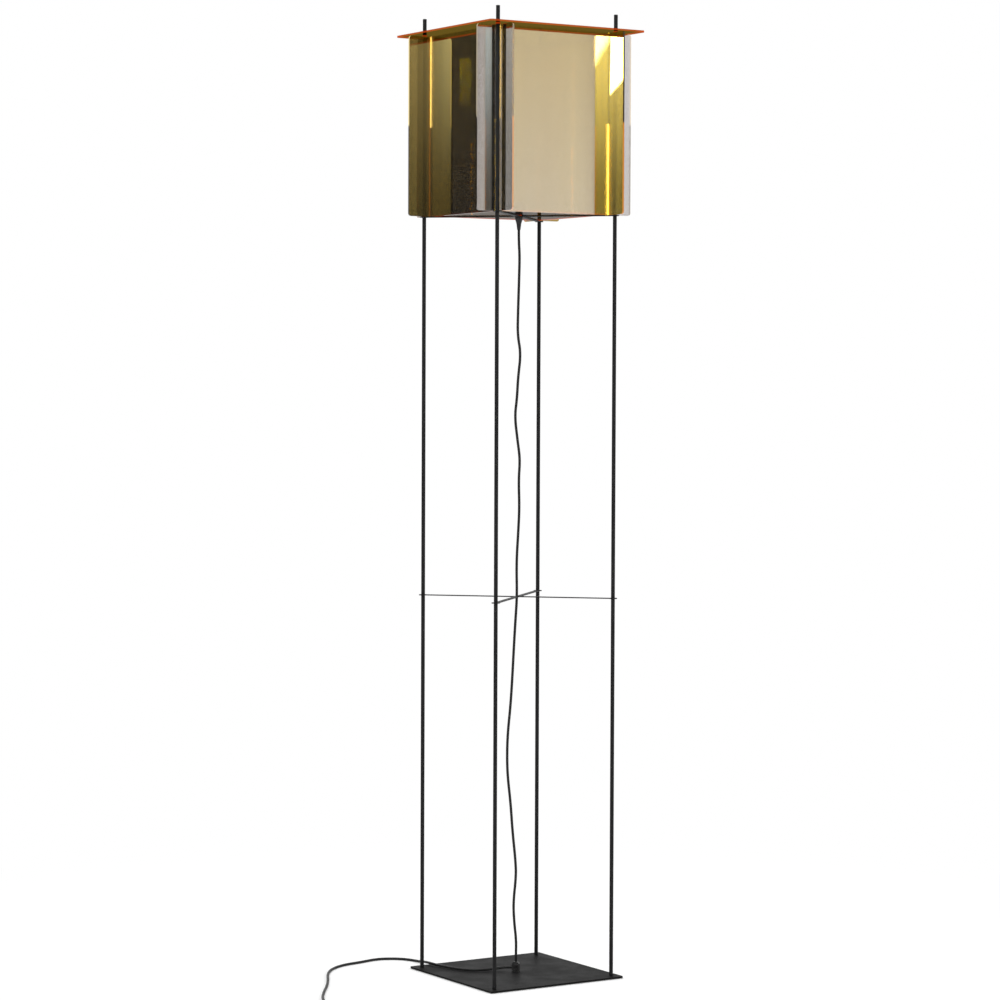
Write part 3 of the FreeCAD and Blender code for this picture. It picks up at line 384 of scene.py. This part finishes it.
# shared effects

grainSettings = {
    "fineDetail": 3.0,
    "fineRoughness": 0.6,
    "patchDetail": 4.0,
    "patchRoughness": 0.55,
    "fineShare": 0.4,
    "patchShare": 0.6,
    "low": 0.36,
    "high": 0.64,
}


def makeGrainGroup(settings):
    tree, given, result = newGroup("surfaceGrain", [
        ("Point", vectorKind, (0, 0, 0)),
        ("Grain Size", floatKind, 0.001),
        ("Patch Size", floatKind, 0.05),
        ("Dark", colorKind, (0, 0, 0, 1)),
        ("Light", colorKind, (0, 0, 0, 1)),
        ("Roughness", floatKind, 0.5),
        ("Roughness Spread", floatKind, 0.1),
    ], [("Color", colorKind), ("Roughness", floatKind), ("Height", floatKind)])
    fine, patches = [
        addNode(tree, "ShaderNodeTexNoise", {
            "Vector": given["Point"], "Scale": addMath(tree, "DIVIDE", 1.0, given[size]),
            "Detail": settings[detail], "Roughness": settings[roughness]}).outputs[0]
        for size, detail, roughness in (
            ("Grain Size", "fineDetail", "fineRoughness"),
            ("Patch Size", "patchDetail", "patchRoughness"))]
    both = addMath(tree, "MULTIPLY_ADD", fine, settings["fineShare"],
                   addMath(tree, "MULTIPLY", patches, settings["patchShare"]))
    share = addRange(tree, both, settings["low"], settings["high"])
    swing = addMath(tree, "SUBTRACT", share, 0.5)
    fillInputs(tree, result, {
        "Color": addMix(tree, share, given["Dark"], given["Light"]),
        "Roughness": addMath(tree, "MULTIPLY_ADD", swing, given["Roughness Spread"],
                             given["Roughness"]),
        "Height": fine})
    return tree


# Where a sheet's edges, ends and slots are. The sheets' own sizes are the group's inputs.
maskSettings = {
    "halfSide": 0.15,
    "slotPlace": 0.1075,
    "bottom": 1.27,
    "height": 0.30,
    "edgeFacing": 0.5,
    "endDepth": 0.006,
    "slotReach": 0.0025,
    "middle": (0.495, 0.505),
    "streaksAcross": 60.0,
    "streaksUp": 1.2,
    "waveScale": 9.0,
}


def makeSheetGroup(settings):
    tree, given, result = newGroup("sheetMasks", [
        ("Point", vectorKind, (0, 0, 0)),
        ("Normal", vectorKind, (0, 0, 0)),
        ("Along", vectorKind, (1, 0, 0)),
        ("Across", vectorKind, (0, 1, 0)),
        ("Half Side", floatKind, settings["halfSide"]),
        ("Slot Place", floatKind, settings["slotPlace"]),
        ("Bottom", floatKind, settings["bottom"]),
        ("Height", floatKind, settings["height"]),
    ], [("Edge", floatKind), ("End", floatKind), ("Slot Wall", floatKind), ("Rise", floatKind),
        ("Upper", floatKind), ("Streaks", floatKind), ("Waves", floatKind), ("Flap", floatKind)])
    along, across = [
        addNode(tree, "ShaderNodeVectorMath", {0: given[first], 1: given[second]},
                operation="DOT_PRODUCT").outputs["Value"]
        for first, second in (("Point", "Along"), ("Normal", "Across"))]
    out = addMath(tree, "ABSOLUTE", along)
    edge = addMath(tree, "LESS_THAN", addMath(tree, "ABSOLUTE", across), settings["edgeFacing"])
    reach = addMath(tree, "SUBTRACT", given["Half Side"], settings["endDepth"])
    end = addMath(tree, "MULTIPLY", edge, addMath(tree, "GREATER_THAN", out, reach))
    fromSlot = addMath(tree, "ABSOLUTE", addMath(tree, "SUBTRACT", out, given["Slot Place"]))
    nearSlot = addMath(tree, "LESS_THAN", fromSlot, settings["slotReach"])
    height = addNode(tree, "ShaderNodeSeparateXYZ", {0: given["Point"]}).outputs[2]
    above = addMath(tree, "SUBTRACT", height, given["Bottom"])
    rise = addMath(tree, "DIVIDE", above, given["Height"], clamp=True)
    streakPoint = addNode(tree, "ShaderNodeCombineXYZ", {
        0: addMath(tree, "MULTIPLY", along, settings["streaksAcross"]),
        1: addMath(tree, "MULTIPLY", height, settings["streaksUp"])}).outputs[0]
    streaks = addNode(tree, "ShaderNodeTexNoise", {
        "Vector": streakPoint, "Scale": 1.0, "Detail": 4.0, "Roughness": 0.6}).outputs[0]
    waves = addNode(tree, "ShaderNodeTexNoise", {
        "Vector": given["Point"], "Scale": settings["waveScale"], "Detail": 1.0,
        "Roughness": 0.4}).outputs[0]
    fillInputs(tree, result, {
        "Edge": edge, "End": end, "Slot Wall": addMath(tree, "MULTIPLY", edge, nearSlot),
        "Rise": rise, "Upper": addRange(tree, rise, *settings["middle"]), "Streaks": streaks,
        "Waves": waves, "Flap": addMath(tree, "GREATER_THAN", out, given["Slot Place"])})
    return tree


grainGroup = makeGrainGroup(grainSettings)
sheetGroup = makeSheetGroup(maskSettings)


# coated, moulded and plated finishes

coatSettings = {
    "black_coat": {
        "nodes": ["lower_rod_front_left", "lower_rod_front_right", "lower_rod_back_left",
                  "lower_rod_back_right", "middle_rod_front_left", "middle_rod_front_right",
                  "middle_rod_back_left", "middle_rod_back_right", "upper_rod_front_left",
                  "upper_rod_front_right", "upper_rod_back_left", "upper_rod_back_right",
                  "middle_brace", "lantern_brace"],
        "dark": (0.007, 0.007, 0.0075), "light": (0.012, 0.012, 0.0125),
        "grainSize": 0.0007, "patchSize": 0.03, "roughness": 0.46, "spread": 0.06,
        "bump": 0.06, "bumpDepth": 0.00003, "metallic": 0.0, "specular": 0.16,
    },
    "base_coat": {
        "nodes": ["base_plate"],
        "dark": (0.007, 0.007, 0.007), "light": (0.011, 0.0107, 0.0107),
        "grainSize": 0.0009, "patchSize": 0.045, "roughness": 0.5, "spread": 0.16,
        "bump": 0.35, "bumpDepth": 0.00008, "metallic": 0.0, "specular": 0.05,
    },
    "felt": {
        "nodes": ["base_mat"],
        "dark": (0.008, 0.008, 0.008), "light": (0.045, 0.045, 0.045),
        "grainSize": 0.0004, "patchSize": 0.004, "roughness": 0.95, "spread": 0.08,
        "bump": 0.9, "bumpDepth": 0.0004, "metallic": 0.0, "specular": 0.1,
    },
    "zinc": {
        "nodes": ["base_screws", "middle_studs", "upper_studs", "grip_nut", "switch_screws"],
        "dark": (0.42, 0.42, 0.41), "light": (0.60, 0.60, 0.58),
        "grainSize": 0.0006, "patchSize": 0.004, "roughness": 0.34, "spread": 0.2,
        "bump": 0.15, "bumpDepth": 0.00004, "metallic": 1.0, "specular": 0.5,
    },
    "black_aluminium": {
        "nodes": ["lamp_head_base", "cord_anchor", "anchor_clamp_screw"],
        "dark": (0.010, 0.010, 0.010), "light": (0.018, 0.018, 0.018),
        "grainSize": 0.0004, "patchSize": 0.01, "roughness": 0.38, "spread": 0.12,
        "bump": 0.15, "bumpDepth": 0.00003, "metallic": 0.0, "specular": 0.5,
    },
    "black_plastic": {
        "nodes": ["cord_grip", "foot_switch_base", "foot_switch_cover", "foot_switch_contact",
                  "plug_body"],
        "dark": (0.010, 0.010, 0.010), "light": (0.016, 0.016, 0.016),
        "grainSize": 0.0005, "patchSize": 0.02, "roughness": 0.42, "spread": 0.12,
        "bump": 0.3, "bumpDepth": 0.00006, "metallic": 0.0, "specular": 0.5,
    },
    "button_plastic": {
        "nodes": ["foot_switch_button"],
        "dark": (0.014, 0.014, 0.014), "light": (0.020, 0.020, 0.020),
        "grainSize": 0.002, "patchSize": 0.01, "roughness": 0.22, "spread": 0.1,
        "bump": 0.05, "bumpDepth": 0.00003, "metallic": 0.0, "specular": 0.5,
    },
    "cord_rubber": {
        "nodes": [],
        "dark": (0.009, 0.009, 0.009), "light": (0.015, 0.015, 0.015),
        "grainSize": 0.0008, "patchSize": 0.02, "roughness": 0.4, "spread": 0.14,
        "bump": 0.06, "bumpDepth": 0.00003, "metallic": 0.0, "specular": 0.2,
    },
    "strap": {
        "nodes": ["coil_tie"],
        "dark": (0.010, 0.010, 0.010), "light": (0.035, 0.035, 0.035),
        "grainSize": 0.0005, "patchSize": 0.003, "roughness": 0.85, "spread": 0.1,
        "bump": 0.8, "bumpDepth": 0.0002, "metallic": 0.0, "specular": 0.2,
    },
    "plated_brass": {
        "nodes": ["plug_pins"],
        "dark": (0.62, 0.60, 0.55), "light": (0.74, 0.72, 0.67),
        "grainSize": 0.0008, "patchSize": 0.004, "roughness": 0.2, "spread": 0.16,
        "bump": 0.1, "bumpDepth": 0.00003, "metallic": 1.0, "specular": 0.5,
    },
    "dome_plastic": {
        "nodes": ["lamp_dome"],
        "dark": (0.16, 0.085, 0.04), "light": (0.24, 0.13, 0.06),
        "grainSize": 0.001, "patchSize": 0.01, "roughness": 0.32, "spread": 0.1,
        "bump": 0.05, "bumpDepth": 0.00003, "metallic": 0.0, "specular": 0.5,
    },
    "light_board": {
        "nodes": ["light_board"],
        "dark": (0.78, 0.78, 0.76), "light": (0.84, 0.84, 0.82),
        "grainSize": 0.001, "patchSize": 0.008, "roughness": 0.35, "spread": 0.1,
        "bump": 0.05, "bumpDepth": 0.00003, "metallic": 0.0, "specular": 0.5,
    },
}


def makeCoat(name, settings):
    material, tree, shader = newMaterial(name)
    point = addNode(tree, "ShaderNodeTexCoord").outputs["Object"]
    grain = useGroup(tree, grainGroup, {
        "Point": point, "Grain Size": settings["grainSize"], "Patch Size": settings["patchSize"],
        "Dark": (*settings["dark"], 1), "Light": (*settings["light"], 1),
        "Roughness": settings["roughness"], "Roughness Spread": settings["spread"]})
    bump = addNode(tree, "ShaderNodeBump", {
        "Strength": settings["bump"], "Distance": settings["bumpDepth"], "Height": grain["Height"]})
    fillInputs(tree, shader, {
        "Base Color": grain["Color"], "Roughness": grain["Roughness"], "Normal": bump.outputs[0],
        "Metallic": settings["metallic"], "Specular IOR Level": settings["specular"]})
    finishNodes(material, settings["nodes"])
    return material


coats = {name: makeCoat(name, values) for name, values in coatSettings.items()}
for cord in cords:
    cord.data.materials.append(coats["cord_rubber"])
print("coats, plastics and metals done")


# acrylic sheets

# In each sheet, end and the slot wall colour are painted edge glow, an emission on acrylic that is no
# lamp.
sheetSettings = {
    # Each sheet's low and high colours, at the bottom and the top, are partly the acrylic's own tint and
    # partly painted light and shade. The change from bottom to top is painted, with the front sheet
    # darker at the top under the top plate. The front sheet's champagne middle is painted yellow light
    # from inside, and its grey flaps, given by the flap colour, leave that out.
    "front_panel": {
        "along": (1, 0, 0), "across": (0, 1, 0), "slotsAtTop": False,
        "low": (0.92, 0.88, 0.81), "high": (0.86, 0.78, 0.58), "flap": (0.92, 0.91, 0.92),
        "metallic": 0.52, "coatIor": 1.5, "ior": 1.49, "streak": 0.02,
        "wall": (4.5, 3.1, 0.3), "end": (0.5, 0.42, 0.30),
    },
    "back_panel": {
        "along": (1, 0, 0), "across": (0, 1, 0), "slotsAtTop": False,
        "low": (0.50, 0.38, 0.11), "high": (0.70, 0.53, 0.17),
        "metallic": 0.62, "coatIor": 1.5, "ior": 1.49, "streak": 0.1,
        "wall": (0.25, 0.08, 0.0), "end": (0.9, 0.72, 0.3),
    },
    "left_panel": {
        "along": (0, 1, 0), "across": (1, 0, 0), "slotsAtTop": True,
        "low": (0.24, 0.21, 0.16), "high": (0.34, 0.29, 0.14),
        "metallic": 0.4, "coatIor": 3.6, "ior": 1.49, "streak": 0.1,
        "wall": (4.2, 2.9, 0.9), "end": (0.60, 0.19, 0.01),
    },
    "right_panel": {
        "along": (0, 1, 0), "across": (1, 0, 0), "slotsAtTop": True,
        "low": (0.84, 0.68, 0.12), "high": (0.88, 0.72, 0.14),
        "metallic": 0.6, "coatIor": 1.5, "ior": 1.49, "streak": 0.12,
        "wall": (0.02, 0.015, 0.0), "end": (0.60, 0.22, 0.02),
    },
    "top_plate": {
        "along": (1, 0, 0), "across": (0, 0, 1),
        "low": (0.13, 0.085, 0.012), "high": (0.13, 0.085, 0.012),
        "metallic": 0.0, "coatIor": 1.0, "ior": 1.001, "streak": 0.0,
    },
    "floor_plate": {
        "along": (1, 0, 0), "across": (0, 0, 1),
        "low": (0.24, 0.19, 0.14), "high": (0.24, 0.19, 0.14),
        "metallic": 0.0, "coatIor": 1.0, "ior": 1.01, "streak": 0.0,
    },
}

# Edge colours. The tint is the edge faces' own colour. The glows are painted light: emission makes the
# sheets' edges and slot walls and the top plate's rim glow as if the lamp inside lit them through the
# acrylic, brighter on the inner faces.
edgeSettings = {
    "tint": (0.05, 0.03, 0.012),
    "paintedDimEndGlow": (0.012, 0.009, 0.006),
    "paintedPanelEdgeGlow": (0.10, 0.05, 0.01),
    "paintedPlateEdgeGlow": (0.36, 0.045, 0.006),
    "paintedGlowInsideGain": 1.5,
    "streakFrom": 0.3,
    "streakTo": 0.7,
    "waveStrength": 0.25,
    "waveDepth": 0.00003,
}


def makeSheet(name, settings, edges):
    material, tree, shader = newMaterial(name)
    place = addNode(tree, "ShaderNodeTexCoord").outputs
    masks = useGroup(tree, sheetGroup, {
        "Point": place["Object"], "Normal": place["Normal"],
        "Along": settings["along"], "Across": settings["across"]})
    # Base colour: the acrylic's tint with painted light and shade from bottom to top, and on the front
    # sheet a painted inner light kept off the flaps.
    body = addMix(tree, masks["Rise"], settings["low"], settings["high"])
    if "flap" in settings:
        body = addMix(tree, masks["Flap"], body, settings["flap"])
    share = addRange(tree, masks["Streaks"], edges["streakFrom"], edges["streakTo"],
                     1.0 - settings["streak"], 1.0)
    body = addNode(tree, "ShaderNodeVectorMath", {0: body, "Scale": share}, operation="SCALE").outputs[0]
    body = addMix(tree, masks["Edge"], body, edges["tint"])
    # Painted glow: the end faces glow in the half without slots and stay dim in the slotted half, the
    # slot walls glow, and inner faces glow brighter.
    if "end" in settings:
        solid = masks["Upper"]  # the half without slots
        if settings["slotsAtTop"]:
            solid = addMath(tree, "SUBTRACT", 1.0, solid)
        glow = addMix(tree, masks["Edge"], (0, 0, 0), edges["paintedPanelEdgeGlow"])
        glow = addMix(tree, masks["End"], glow, addMix(tree, solid, edges["paintedDimEndGlow"], settings["end"]))
        glow = addMix(tree, masks["Slot Wall"], glow, settings["wall"])
    else:
        glow = addMix(tree, masks["Edge"], (0, 0, 0), edges["paintedPlateEdgeGlow"])
    inside = addNode(tree, "ShaderNodeNewGeometry").outputs["Backfacing"]
    gain = addMath(tree, "MULTIPLY_ADD", inside, edges["paintedGlowInsideGain"], 1.0)
    glow = addNode(tree, "ShaderNodeVectorMath", {0: glow, "Scale": gain}, operation="SCALE").outputs[0]
    bump = addNode(tree, "ShaderNodeBump", {
        "Strength": edges["waveStrength"], "Distance": edges["waveDepth"], "Height": masks["Waves"]})
    fillInputs(tree, shader, {
        "Base Color": body, "Roughness": 0.0, "IOR": settings["ior"], "Transmission Weight": 1.0,
        "Metallic": settings["metallic"], "Coat Weight": 1.0, "Coat IOR": settings["coatIor"],
        "Coat Roughness": 0.0, "Emission Color": glow, "Emission Strength": 1.0,
        "Normal": bump.outputs[0]})
    finishNodes(material, [name])


for sheetName, sheetValues in sheetSettings.items():
    makeSheet(sheetName, sheetValues, edgeSettings)
print("acrylic sheets done")
